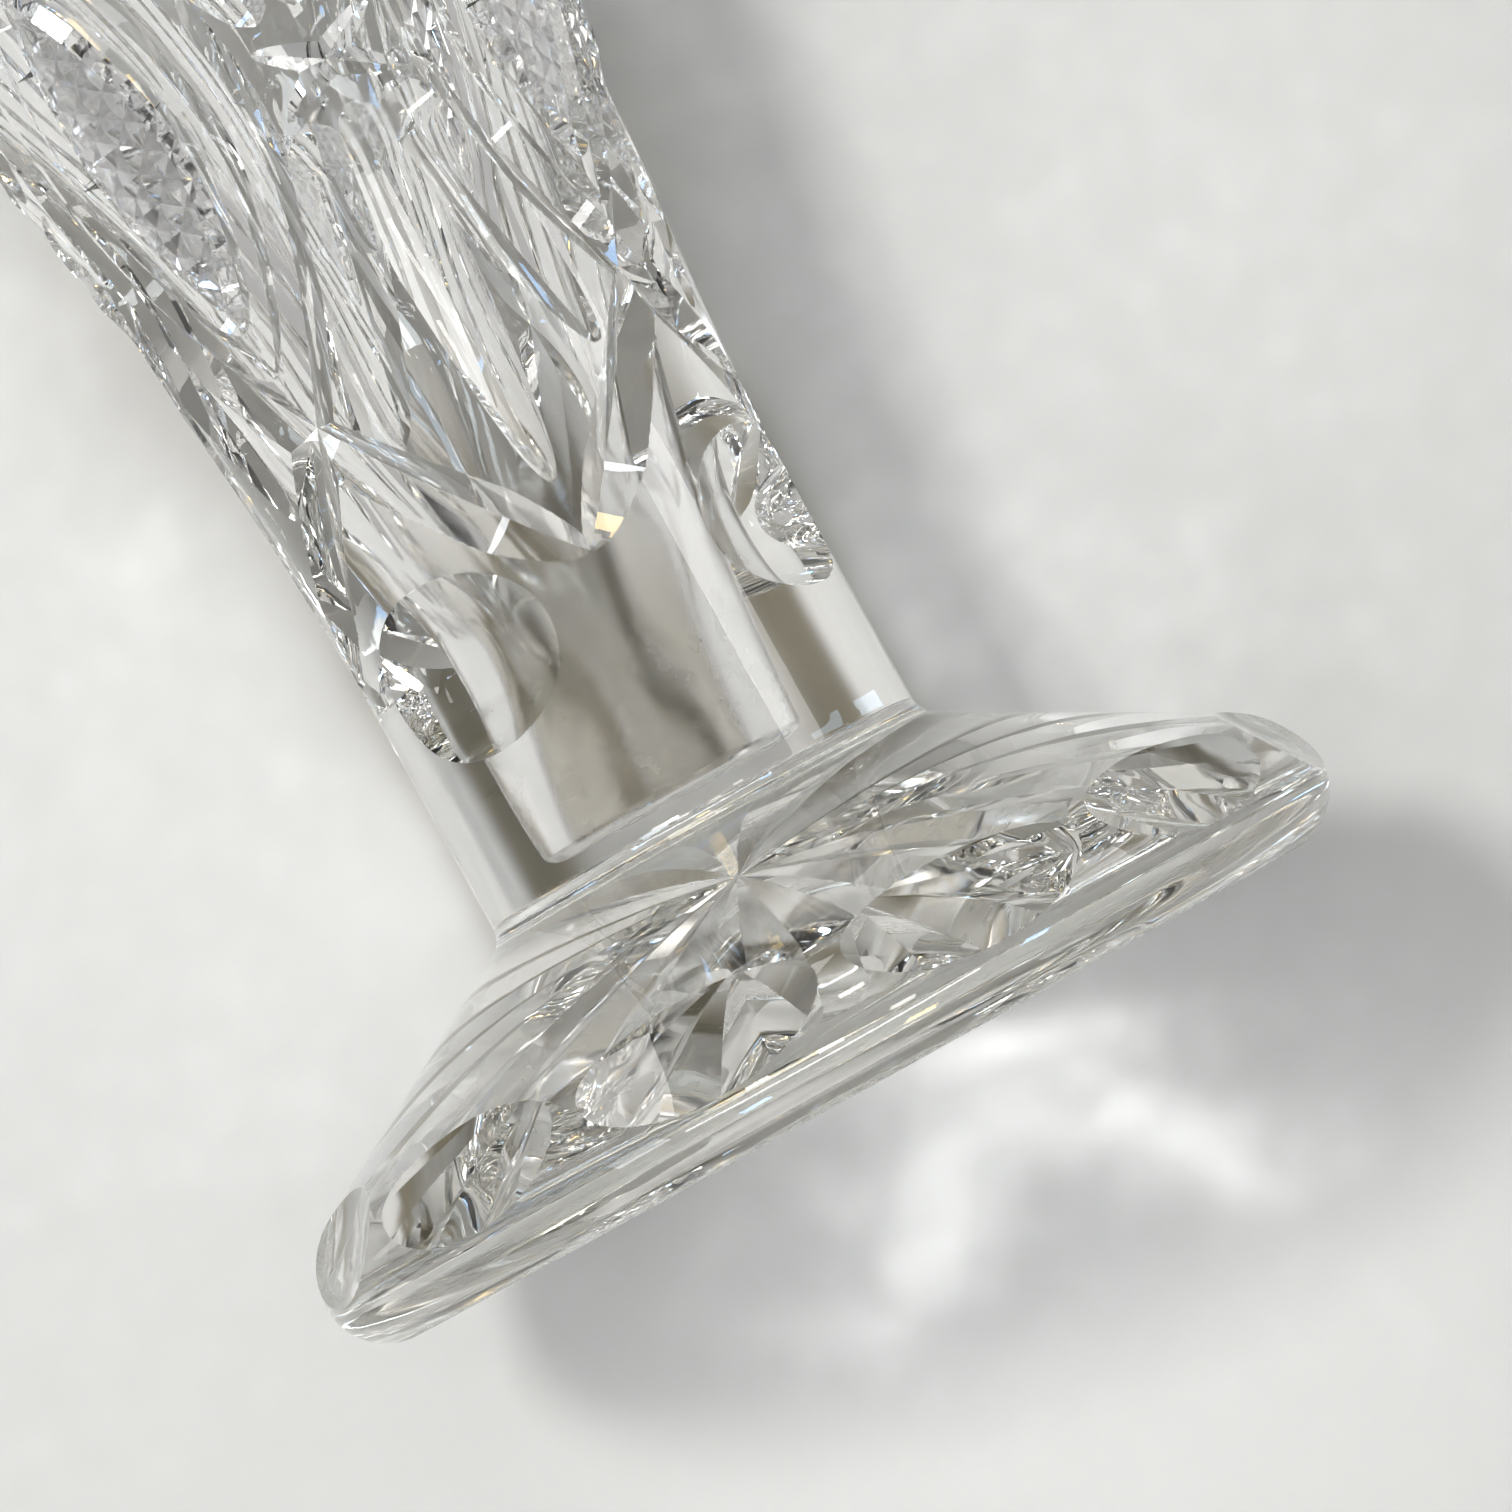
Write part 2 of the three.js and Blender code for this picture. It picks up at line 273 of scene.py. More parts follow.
def inner_radius(height):
    """The bore's radius, and above the place where it starts to widen a power of the height."""
    rise = np.maximum(0, height - bore_flare_start) / (vase_height - bore_flare_start)
    return bore_radius + (mouth_radius - lip_wall - bore_radius) * rise**bore_flare


def body_profile():
    """The body's outline from the joint up to the rounded lip and down the bore to its floor."""
    top = vase_height - lip_rounding
    heights = np.linspace(joint_height, flare_start, stem_steps + 1)[1:]
    stem = upright(0 * heights + stem_radius, heights)
    heights = flare_start + (top - flare_start) * np.linspace(0, 1, flare_steps)[1:]
    outside = upright(body_radius(heights), heights)
    lip_radii = np.array([mouth_radius - lip_rounding, mouth_radius - lip_wall + lip_rounding])
    lip = upright(lip_radii, np.full(2, vase_height))
    corner_height = bore_floor + bore_corner
    flare = np.linspace(top, bore_flare_start, bore_steps)
    straight = np.linspace(bore_flare_start, corner_height, straight_steps)[1:]
    heights = np.concatenate([flare, straight])
    inside = upright(inner_radius(heights), heights)
    corner_x = bore_radius - bore_corner
    corner = arc(corner_x, corner_height, bore_corner, 0, -90, floor_steps)[1:]
    radii = np.linspace(corner_x, floor_end, floor_steps)[1:]
    floor = upright(radii, 0 * radii + bore_floor)
    return np.vstack([stem, outside, lip, inside, corner, floor])


print("the body's outline has", len(body_profile()), "points")

# %% [markdown]
# The outside is true, because it was ground, and the inside is as the blower left it. So the
# outline is carried round the axis first, and then the bore's points are moved a little.

# %% The blank
body_sides = 192
bore_off_centre = 0.8
bore_waviness = 0.22
bore_waves = ((1, 3, 0.12), (0.6, 7, -0.21))  # size, count and twist of each
bore_true_height = 105


def turned(profile, sides):
    """Rings of points: each profile point is carried round the axis in equal steps."""
    angle = np.linspace(0, 2 * np.pi, sides, endpoint=False)
    x = profile[:, :1] * np.cos(angle)
    y = profile[:, :1] * np.sin(angle)
    z = np.repeat(profile[:, 1:], sides, axis=1)
    return np.stack([x, y, z], -1)


def hand_made(rings):
    """The bore isn't ground, so it keeps the wander of the blower's tool. Every point of it that
    lies under the flare moves sideways by the off-centre distance, and in or out by slow waves.
    A wave is its size times the sine of a sum: its count times the angle round the bore, and
    its twist times the height. Both fade to nothing half way up."""
    height = rings[..., 2]
    radius = np.hypot(rings[..., 0], rings[..., 1])
    fade = np.clip((bore_true_height - height) / (bore_true_height - bore_flare_start), 0, 1)
    bored = (radius < bore_radius * 2) & (height >= bore_floor)
    share = np.where(bored, fade, 0) * radius / bore_radius
    around = np.arctan2(rings[..., 1], rings[..., 0])
    wave = sum(size * np.sin(count * around + twist * height) for size, count, twist in bore_waves)
    out = rings[..., :2] / np.maximum(radius, 1)[..., None]
    aside = -np.array(rightwards[:2]) * bore_off_centre
    moved = rings[..., :2] + (out * (bore_waviness * wave)[..., None] + aside) * share[..., None]
    return np.concatenate([moved, rings[..., 2:]], -1)


blown = hand_made(turned(np.vstack([foot_profile(), body_profile()]), body_sides))
blank = add_mesh("cut_crystal_vase", tube(blown))
print("blown shape:", len(blank.data.polygons), "faces")

# %% [markdown]
# ## A wheel's cut
# A mitre wheel has a sharp V edge. Where it runs along the glass it leaves a groove of two flat
# faces that meet in a line, and where it comes away the groove gets shallow and narrow together.
# The cutter here is that V, closed above the surface, carried along a path on the blown shape.

# %% The cutter that a V-edged wheel leaves
clearance = 1.5
blunt_end = 0.01


def on_body(angle, height):
    """Points on the outside at angles in degrees and heights, and the normals there, which lean
    down by the slope of the flare."""
    around = np.radians(angle)
    slope = body_radius(height + 0.5) - body_radius(height - 0.5)
    level = np.stack([np.cos(around), np.sin(around), 0 * around], -1)
    points = level * body_radius(height)[:, None] + np.array([0, 0, 1]) * height[:, None]
    normals = level - np.array([0, 0, 1]) * slope[:, None]
    return points, normals / np.linalg.norm(normals, axis=1)[:, None]


def angle_of(length, height):
    """The angle in degrees that a length round the body covers at a height."""
    return np.degrees(length / body_radius(height))


def wheel_cut(angle, height, depth, left, right, narrowing=0.0, run_in=0.1, run_out=0.1):
    """A V groove along a path of angles and heights. Its size is the square root of the distance
    from either end, as a share of the run-in or run-out there and up to one, times one less the
    narrowing times a half sine wave. The blunt end keeps that root above nothing. The V's point
    lies under the surface by the depth times that size, and its two edges lie beside the path
    by the left and right widths."""
    points, normals = on_body(angle, height)
    across = np.cross(np.gradient(points, axis=0), normals)
    across /= np.linalg.norm(across, axis=1)[:, None]
    along = np.linspace(0, 1, len(angle))
    from_end = np.minimum(along / run_in, (1 - along) / run_out)
    size = np.sqrt(np.minimum(1, blunt_end + from_end)) * (1 - narrowing * np.sin(np.pi * along))
    size = size[:, None]
    reach = size + clearance / depth
    bottom = points - normals * depth * size
    top = points + normals * clearance
    return tube(np.stack([bottom, top - across * left * reach, top + across * right * reach], 1))


print("a millimetre round the stem is", round(float(angle_of(1, flare_start)), 2), "degrees")

# %% [markdown]
# ## The pattern on the body
# The pattern repeats four times round the vase, and its upper half mirrors the lower one,
# stretched with the flare. So only a quarter of the lower half is drawn. Cutters that are taken
# away together must not overlap, so they are kept as a list of sets that lie clear of each other.

# %% How the pattern repeats
panel_count = 4
panel_angle = 360 / panel_count
waist_height = 108.3
upper_stretch = 1.25
cutters = []


def mirrored(height):
    """A height in the lower half of the pattern to its place in the upper half."""
    return waist_height + (waist_height - height) * upper_stretch


def round_the_vase(solid, start=0):
    """A solid repeated once for each panel."""
    return [turned_round(solid, start + panel_angle * index) for index in range(panel_count)]


def add_cutter(name, solids):
    """One set of solids to take away together."""
    cutters.append(add_mesh(name, joined(solids)))


print("panels of", panel_angle, "degrees, mirrored at a height of", waist_height, "mm")

# %% [markdown]
# Two long mitres start at a point between two punties, cross above one of them, and run up
# beside a pointed panel of diamonds. The cutter drew each in one sweep, which a Bezier curve in
# angle against height follows with four points.

# %% Paths of the mitres
waist_half_angle = 19.5
waist_edge = panel_angle / 2 - waist_half_angle
mitre_start = 56.5
mitre_rise = 20
mitre_swing = 1.5
mitre_upright = 16
mitre_points = np.array([
    [panel_angle / 2, mitre_start],
    [mitre_swing, mitre_start + mitre_rise],
    [-waist_edge, waist_height - mitre_upright],
    [-waist_edge, waist_height],
])


def mitre_curve(t):
    """Cubic Bezier curve from the first of the mitre's points to the last, drawn towards the two
    between them: angle from the panel's middle, and height."""
    t = t[:, None]
    weights = np.hstack([(1 - t) ** 3, 3 * t * (1 - t) ** 2, 3 * t**2 * (1 - t), t**3])
    return (weights @ mitre_points).T


def mitre_path(steps):
    """The mitre from its lower tip to the waist, then the same curve mirrored to the upper tip."""
    t = np.linspace(0, 1, steps)
    angle, height = mitre_curve(np.minimum(2 * t, 2 - 2 * t))
    return angle, np.where(t < 0.5, height, mirrored(height))


print("the mitres reach from", mitre_start, "to", round(float(mirrored(mitre_start)), 1), "mm")

# %% [markdown]
# Two narrow cuts edge the panel on each side. They keep their distance from the mitre, so they
# take its curve and only move it inwards.

# %% Paths of the borders
border_gaps = (3.8, 6.8)


def border_path(gap, steps):
    """The mitre's curve moved into the panel by a gap, from where it crosses the panel's middle
    to the same crossing in the upper half."""
    fine = np.linspace(0, 1, 400)
    angle, height = mitre_curve(fine)
    start = fine[np.argmax(angle + angle_of(gap, height) < 0)]
    t = np.linspace(0, 1, steps)
    angle, height = mitre_curve(start + (1 - start) * np.minimum(2 * t, 2 - 2 * t))
    return angle + angle_of(gap, height), np.where(t < 0.5, height, mirrored(height))


print("the borders lie", border_gaps, "mm inside the mitres")

# %% [markdown]
# Between the panels three broad cuts fan out downwards, and above them lies a small cross. Both
# are set out by lengths on the glass, as a cutter marks them, and then turned into angles.

# %% Paths of the fans and the cross
fan_top_pitch = 4.2
fan_bottom_pitch = 10.9
fan_top = 4.5
fan_bottom = 64
fan_step = 9.8
cross_arm = 7
cross_tilt = 30


def fan_path(step, place, steps):
    """One cut of the fan: its distance from the middle line shrinks evenly from bottom to top,
    and place says where a height of the lower half goes."""
    t = np.linspace(0, 1, steps)
    height = place((fan_bottom + fan_step * abs(step)) * (1 - t) + (waist_height - fan_top) * t)
    offset = step * (fan_bottom_pitch + (fan_top_pitch - fan_bottom_pitch) * t)
    return angle_of(offset, height), height


def cross_path(side, steps):
    """One arm of the cross, straight across the waist at a tilt."""
    rise = cross_arm * math.sin(math.radians(cross_tilt))
    width = angle_of(cross_arm * math.cos(math.radians(cross_tilt)), np.array(waist_height))
    t = np.linspace(-1, 1, steps)
    return width * t, waist_height + side * rise * t


print("the fans reach down to", fan_bottom, "mm")

# %% [markdown]
# ## The cutters
# Each family of cuts has its own depth and its own V. They go into sets: the left mitres in one,
# the right ones in the next, and each of a fan's three cuts in its own.

# %% Mitres, borders, crosses and fans
mitre_depth = 2
mitre_outer_face = 4.2
mitre_inner_face = 3
mitre_narrowing = 0.35
mitre_run = 0.06
mitre_steps = 120
border_depth = 0.9
border_face = 1.6
border_steps = 80
cross_depth = 1.1
cross_face = 1.5
cross_run = 0.4
cross_steps = 24
fan_cuts = 3
fan_depth = 1.9
fan_face = 4.3
fan_run_in = 0.6
fan_run_out = 0.15
fan_steps = 40

for side in (1, -1):
    angle, height = mitre_path(mitre_steps)
    faces = (mitre_outer_face, mitre_inner_face)[::side]
    ends = (mitre_narrowing, mitre_run, mitre_run)
    mitre = wheel_cut(side * angle, height, mitre_depth, *faces, *ends)
    add_cutter("mitres", round_the_vase(mitre))
    for gap in border_gaps:
        angle, height = border_path(gap, border_steps)
        border = wheel_cut(side * angle, height, border_depth, border_face, border_face)
        add_cutter("borders", round_the_vase(border))
    path = cross_path(side, cross_steps)
    arm = wheel_cut(*path, cross_depth, cross_face, cross_face, 0, cross_run, cross_run)
    add_cutter("cross_arms", round_the_vase(arm, panel_angle / 2))

for index in range(fan_cuts):
    for place in (np.array, mirrored):
        path = fan_path(index - (fan_cuts - 1) / 2, place, fan_steps)
        cut = wheel_cut(*path, fan_depth, fan_face, fan_face, 0, fan_run_in, fan_run_out)
        add_cutter("fans", round_the_vase(cut, panel_angle / 2))
print(len(cutters), "sets of wheel cuts")

# %% [markdown]
# ## Punties
# A punty is a hollow ground by a round-edged wheel held square to the glass, a lens that turns
# what lies behind it small and upside down. It is a slice of an ellipsoid. The cutter set the
# four lower ones by eye, so they don't stand quite under the panels' middles.

# %% Punties
punty_turns = (2.4, 100, 186, 274)
punty_height = 53
punty_tall = 17.2
punty_wide = 21
punty_depth = 3
upper_punty_depth = 1.9
punty_grid = (64, 48)
last_ring = 86


def unit_ball(sides, rings):
    """Points of a ball of radius one, in rings of equal steps of latitude. One coordinate is the
    latitude's sine, the others are its cosine times the longitude's cosine and sine."""
    latitude = np.radians(np.linspace(-last_ring, last_ring, rings))[:, None]
    longitude = np.linspace(0, 2 * np.pi, sides, endpoint=False)
    x = np.sin(latitude) + 0 * longitude
    y = np.cos(latitude) * np.cos(longitude)
    z = np.cos(latitude) * np.sin(longitude)
    return np.stack([x, y, z], -1)


def punty(height, depth):
    """An ellipsoid whose cap, where it dips under the body's surface, has the punty's depth,
    height and width. Its short axis is the surface's normal, three times the depth long."""
    (point,), (normal,) = on_body(np.zeros(1), np.array([float(height)]))
    radius = float(body_radius(np.array(height)))
    bulge = radius - math.sqrt(radius**2 - (punty_wide / 2) ** 2)
    deep = 3 * depth

    def opening(level):
        return math.sqrt(1 - (level / deep) ** 2)

    wide = punty_wide / 2 / opening(deep - depth + bulge)
    tall = punty_tall / 2 / opening(deep - depth)
    around = np.array([0, 1, 0])
    axes = np.stack([normal * deep, around * wide, np.cross(normal, around) * tall])
    return tube(unit_ball(*punty_grid) @ axes + point + normal * (deep - depth))


lower_punty = punty(punty_height, punty_depth)
upper_punty = punty(float(mirrored(punty_height)), upper_punty_depth)
lower_punties = [turned_round(lower_punty, turn) for turn in punty_turns]
add_cutter("punties", lower_punties + round_the_vase(upper_punty))
print("punties at", punty_height, "and", round(float(mirrored(punty_height)), 1), "mm")

# %% [markdown]
# ## The scalloped lip
# The lip is ground into shallow hollows, side by side, with a blunt point between each two. A
# cylinder laid across the lip takes out one hollow. Neighbours touch, so they go in four sets.

# %% Lip
lip_scallops = 16
scallop_depth = 2.6
scallop_ends = (0.55, 1.2)
scallop_sides = 160


def scallop():
    """A cylinder lying across the lip, whose lowest line dips under the top by the depth and
    whose width at the top is the distance between two points of the lip. Its radius is the
    square of half that width plus the square of the depth, over twice the depth."""
    half = mouth_radius * math.pi / lip_scallops
    radius = (half**2 + scallop_depth**2) / (2 * scallop_depth)
    angle = np.linspace(0, 2 * np.pi, scallop_sides, endpoint=False)
    y, z = radius * np.cos(angle), radius * np.sin(angle)
    middle = vase_height - scallop_depth + radius
    ends = [mouth_radius * share for share in scallop_ends]
    return tube(np.stack([np.stack([0 * y + x, y, z + middle], -1) for x in ends]))


for first in (0, 1):
    turns = (np.arange(first, lip_scallops, 2) + 0.5) * 360 / lip_scallops
    for quarter in range(2):
        add_cutter("scallops", [turned_round(scallop(), turn) for turn in turns[quarter::2]])
print(lip_scallops, "hollows in the lip")

# %% [markdown]
# ## The foot's facets
# Twelve facets lean on the foot's shoulder, ground a little hollow by the wheel's rim. Each is a
# slice of a large ball, because a flat one would not catch the light as they do.

# %% Facets
facet_count = 12
facet_depth = 2.1
facet_lean = 34
facet_turn = 11.7
facet_ball = 90
facet_grid = (360, 240)


def facet(index):
    """A large ball that dips under the rim's upper arc by the facet's depth, in the direction
    that the facet faces."""
    lean = math.radians(facet_lean)
    out = np.array([math.cos(lean), 0, math.sin(lean)])
    up = np.array([-math.sin(lean), 0, math.cos(lean)])
    side = np.array([0, 1, 0])
    corner = np.array([foot_radius - rim_upper_radius, 0, rim_lower_radius])
    middle = corner + out * (rim_upper_radius - facet_depth + facet_ball)
    ball = unit_ball(*facet_grid) @ (facet_ball * np.stack([up, out, side]))
    return turned_round(tube(ball + middle), facet_turn + 360 * (index + 0.5) / facet_count)


for index in range(facet_count):
    add_cutter("facets", [facet(index)])
print(facet_count, "facets")

# %% [markdown]
# ## The star
# The foot's underside is a shallow dish, and a star of rays is cut in it, which meet in sharp
# ridges and run out at the resting ring. Dish and rays are one surface, so one cutter does both.

# %% Star
rest_width = 3.6
star_rays = 20
star_turn = 5.5
star_height = 5.8
star_slope = 0.4
star_run_out = 9
star_middle = 0.6
star_rings = 32
ray_columns = 8


def star_hollow():
    """A dish, the height times one less the square of the share of the radius, and rays in it.
    Between two ridges a ray rises by the slope times half its width, as a V, and runs out as
    the square root of the distance that is left to the resting ring."""
    outer = foot_radius - rim_lower_radius - rest_width
    rings = np.linspace(under_start, outer, star_rings)
    radius = np.concatenate([[star_middle], rings])[:, None]
    across = np.arange(star_rays * ray_columns) / ray_columns
    angle = np.radians(star_turn + 360 / star_rays * across)
    dish = star_height * (1 - (radius / outer) ** 2)
    lift = star_slope * radius * math.sin(math.pi / star_rays)
    lift = lift * np.sqrt(np.clip((outer - radius) / star_run_out, 0, 1))
    height = dish + lift * (1 - np.abs(2 * (across % 1) - 1))
    star = np.stack([radius * np.cos(angle), radius * np.sin(angle), height], -1)
    under = star[-1:] - np.array([0, 0, 1])
    return tube(np.concatenate([under, star[::-1]]))


add_cutter("star", [star_hollow()])
print("a star of", star_rays, "rays")

# %% [markdown]
# ## Diamonds
# The pointed panels are crosshatched: two families of V grooves leave rows of small pyramids.
# A pyramid needs only its point and its four corners, so the whole field is one grid whose
# points lie high and low by turns, like a chess board, wrapped on the body. The solid between
# this grid and one above the glass is trimmed to the panel's outline, then taken away.

# %% The diamond sheet
diamond_half_width = 2.15
diamond_half_height = 1.65
diamond_depth = 1.15
diamond_top = 0.06
field_margin = 2
meridian_steps = 2000


def meridian():
    """Heights in small steps over the whole pattern, and the length along the body's outline
    from the waist to each of them, as the sum of the steps."""
    fine = np.linspace(mitre_start, mirrored(mitre_start), meridian_steps)
    slope = np.gradient(body_radius(fine), fine)
    length = np.concatenate([[0], np.cumsum(np.hypot(1, slope[1:]) * np.diff(fine))])
    return fine, length - np.interp(waist_height, fine, length)


def diamond_sheet(outline_angle, outline_height):
    """A grid of columns across the panel and rows up it. Where column and row add up to an even
    number the point lies in a valley, and elsewhere on a pyramid's tip. Each grid cell is split
    along its valley line. A second sheet above the glass and side walls close the solid."""
    fine, length = meridian()
    ends = outline_height.min() - field_margin, outline_height.max() + field_margin
    low, high = np.interp(ends, fine, length) / diamond_half_height
    half_width = np.max(np.radians(np.abs(outline_angle)) * body_radius(outline_height))
    reach = math.ceil((half_width + field_margin) / diamond_half_width)
    columns = np.arange(-reach, reach + 1)
    rows = np.arange(math.floor(low), math.ceil(high) + 1)
    height = np.interp(rows * diamond_half_height, length, fine)
    column, row = np.meshgrid(columns, rows)
    tall = np.repeat(height[:, None], len(columns), 1).ravel()
    angle = angle_of(column.ravel() * diamond_half_width, tall)
    points, normals = on_body(angle, tall)
    even = (column + row).ravel() % 2 == 0
    deep = np.where(even, diamond_depth, diamond_top)[:, None]
    sheets = np.vstack([points - normals * deep, points + normals * clearance])
    index = np.arange(len(tall)).reshape(len(rows), len(columns))
    a, b, c, d = index[:-1, :-1], index[:-1, 1:], index[1:, 1:], index[1:, :-1]
    valley = even.reshape(index.shape)[:-1, :-1, None]
    first = np.where(valley, np.stack([a, b, c], -1), np.stack([a, b, d], -1))
    second = np.where(valley, np.stack([a, c, d], -1), np.stack([b, c, d], -1))
    under = np.vstack([first.reshape(-1, 3), second.reshape(-1, 3)])[:, ::-1]
    over = np.stack([a, b, c, d], -1).reshape(-1, 4) + len(tall)
    edge = np.concatenate([index[0, :-1], index[:-1, -1], index[-1, :0:-1], index[:0:-1, 0]])
    after = np.roll(edge, -1)
    walls = np.stack([edge, after, after + len(tall), edge + len(tall)], -1)
    return sheets, under.tolist() + over.tolist() + walls.tolist()


outline = border_path(border_gaps[-1], border_steps)
sheet = add_mesh("diamond_sheet", diamond_sheet(*outline))
print("the diamond sheet has", len(sheet.data.polygons), "faces")

# %% [markdown]
# The rows of diamonds end at the inner border. The sheet is cut to that outline by a block that
# follows the border on both sides, as a pastry cutter would.

# %% The field inside its border
least_half_angle = 0.02


def panel_block(outline_angle, outline_height):
    """The panel's outline as a solid: at each height a ring of four points, left and right, under
    and over the glass."""
    angle = np.minimum(-np.abs(outline_angle), -least_half_angle)
    rings = []
    for side, level in ((1, -1), (-1, -1), (-1, 1), (1, 1)):
        points, normals = on_body(side * angle, outline_height)
        rings.append(points + normals * level * (clearance + diamond_depth))
    return tube(np.stack(rings, 1))


def trim(solid, other, operation):
    """One object after a Boolean with another, as a solid in millimetres."""
    cut = solid.modifiers.new("trim", "BOOLEAN")
    cut.operation = operation
    cut.solver = "MANIFOLD"
    cut.object = other
    view = bpy.context.evaluated_depsgraph_get()
    mesh = bpy.data.meshes.new_from_object(solid.evaluated_get(view))
    faces = [list(face.vertices) for face in mesh.polygons]
    for used in (solid, other):
        bpy.data.objects.remove(used)
    return points_of(mesh), faces


field = trim(sheet, add_mesh("outline", panel_block(*outline)), "INTERSECT")
add_cutter("diamonds", round_the_vase(field))
print("a diamond field has", len(field[1]), "faces")

# %% [markdown]
# ## Cutting the vase
# Each set of cutters is one Boolean modifier. The stack is worked out once and kept as the
# vase's mesh. Faces that meet at a shallow angle are shaded smooth, and every cut stays sharp.

# %% Take every cut away
sharp_angle = 14


def cut_vase(blank, cutters):
    """The blank's mesh after all its Boolean modifiers, with the cutters removed."""
    for cutter in cutters:
        cut = blank.modifiers.new(cutter.name, "BOOLEAN")
        cut.operation = "DIFFERENCE"
        cut.solver = "MANIFOLD"
        cut.object = cutter
    view = bpy.context.evaluated_depsgraph_get()
    mesh = bpy.data.meshes.new_from_object(blank.evaluated_get(view))
    blank.modifiers.clear()
    blank.data = mesh
    mesh.name = blank.name
    for cutter in cutters:
        bpy.data.objects.remove(cutter)
    mesh.polygons.foreach_set("use_smooth", np.ones(len(mesh.polygons), bool))
    mesh.set_sharp_from_angle(angle=math.radians(sharp_angle))
    return blank


vase = cut_vase(blank, cutters)
triangles = sum(len(face.vertices) - 2 for face in vase.data.polygons)
print("cut vase:", len(vase.data.polygons), "faces,", triangles, "triangles")
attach(vase, "root")
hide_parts("trumpet_body", "foot")

# %% [markdown]
# ## Crystal
# Wheel-cut faces are polished, and here and there a finger has left a smudge. The bore was never
# cut: hard water has dried in it and left a thin cloudy film, thickest near its floor. The
# resting ring is scratched dull by years of tables. A mask could be painted for each, but here
# the place alone tells which points they cover, so two values are kept on the mesh's points.

# %% Where the film and the wear are
film_top = 78
film_fade = 30
wall_margin = 1.2
floor_margin = 0.5
ring_wear_height = 0.25
ring_share = 0.7


def surface_marks(mesh):
    """Two values for each point. Film: one on the bore's wall and floor, fading out towards the
    film's top. Wear: one on the ring that the foot rests on."""
    points = points_of(mesh)
    radius, height = np.hypot(points[:, 0], points[:, 1]), points[:, 2]
    inside = (radius < inner_radius(height) + wall_margin) & (height > bore_floor - floor_margin)
    film = np.where(inside, np.clip((film_top - height) / film_fade, 0, 1), 0)
    wear = np.where((height < ring_wear_height) & (radius > foot_radius * ring_share), 1.0, 0.0)
    # The film's value also places its grey tint, which is partly painted shade.
    for name, values in (("water_film_and_shade", film), ("ring_wear", wear)):
        mark = mesh.attributes.new(name, "FLOAT", "POINT")
        mark.data.foreach_set("value", values)
    return int(inside.sum()), int(wear.sum())


print("points in the bore and on the resting ring:", surface_marks(vase.data))

# %% [markdown]
# A finish is a small tree of nodes. The crystal, the cards and the paper need the same few, so
# each kind of node has a helper that makes it and hands over its output.

# %% Helpers for finishes


def new_material(name):
    """A material, with its nodes and links."""
    material = bpy.data.materials.new(name)
    material.use_nodes = True
    return material, material.node_tree.nodes, material.node_tree.links


def kept_value(material, name, output="Fac"):
    """A value that the mesh keeps under a name, or with the output Color a colour."""
    made = material.node_tree.nodes.new("ShaderNodeAttribute")
    made.attribute_name = name
    return made.outputs[output]


def mixed(material, factor, first, second):
    """The first colour where the factor is nothing, the second where it is one."""
    made = material.node_tree.nodes.new("ShaderNodeMix")
    made.data_type = "RGBA"
    made.inputs["A"].default_value = first
    made.inputs["B"].default_value = second
    material.node_tree.links.new(factor, made.inputs["Factor"])
    return made.outputs["Result"]


def maths(material, operation, *values):
    """The sum or product of two values, of which either may be a socket."""
    made = material.node_tree.nodes.new("ShaderNodeMath")
    made.operation = operation
    for socket, value in zip(made.inputs, values):
        if isinstance(value, bpy.types.NodeSocket):
            material.node_tree.links.new(value, socket)
        else:
            socket.default_value = value
    return made.outputs["Value"]


print("finish helpers are ready for", vase.name)

# %% [markdown]
# Lead crystal bends light more than window glass. It is almost colourless, and takes on a warm
# grey where light travels far inside it, which is a thin absorbing volume and no tint of the
# surface. Only the film colours the surface: its warm grey is partly the film and partly painted
# shade that darkens the view through the stem. A low bump gives the polished faces the trace of
# ripple that the wheel leaves. All noises read the vase's own coordinates, so they stay in place
# when it is turned. Each is a scale and a detail.

# %% Crystal material
crystal_index = 1.545
absorption_density = 9
absorption_colour = (0.78, 0.765, 0.715, 1)
film_roughness = 0.24
clear_colour = (1, 1, 1, 1)
# The film's warm grey tint, partly a cloudy film and partly painted shade over the stem.
film_and_shade_colour = (0.64, 0.61, 0.54, 1)
wear_roughness = 0.3
smudge_level = 0.6
smudge_roughness = 0.25
ripple_strength = 0.015
ripple_distance = 0.002
film_clouds = (90, 4)
film_specks = (350, 2)
wear_scratches = (1200, 3)
smudge_spots = (70, 3)
ripple_waves = (120, 1)


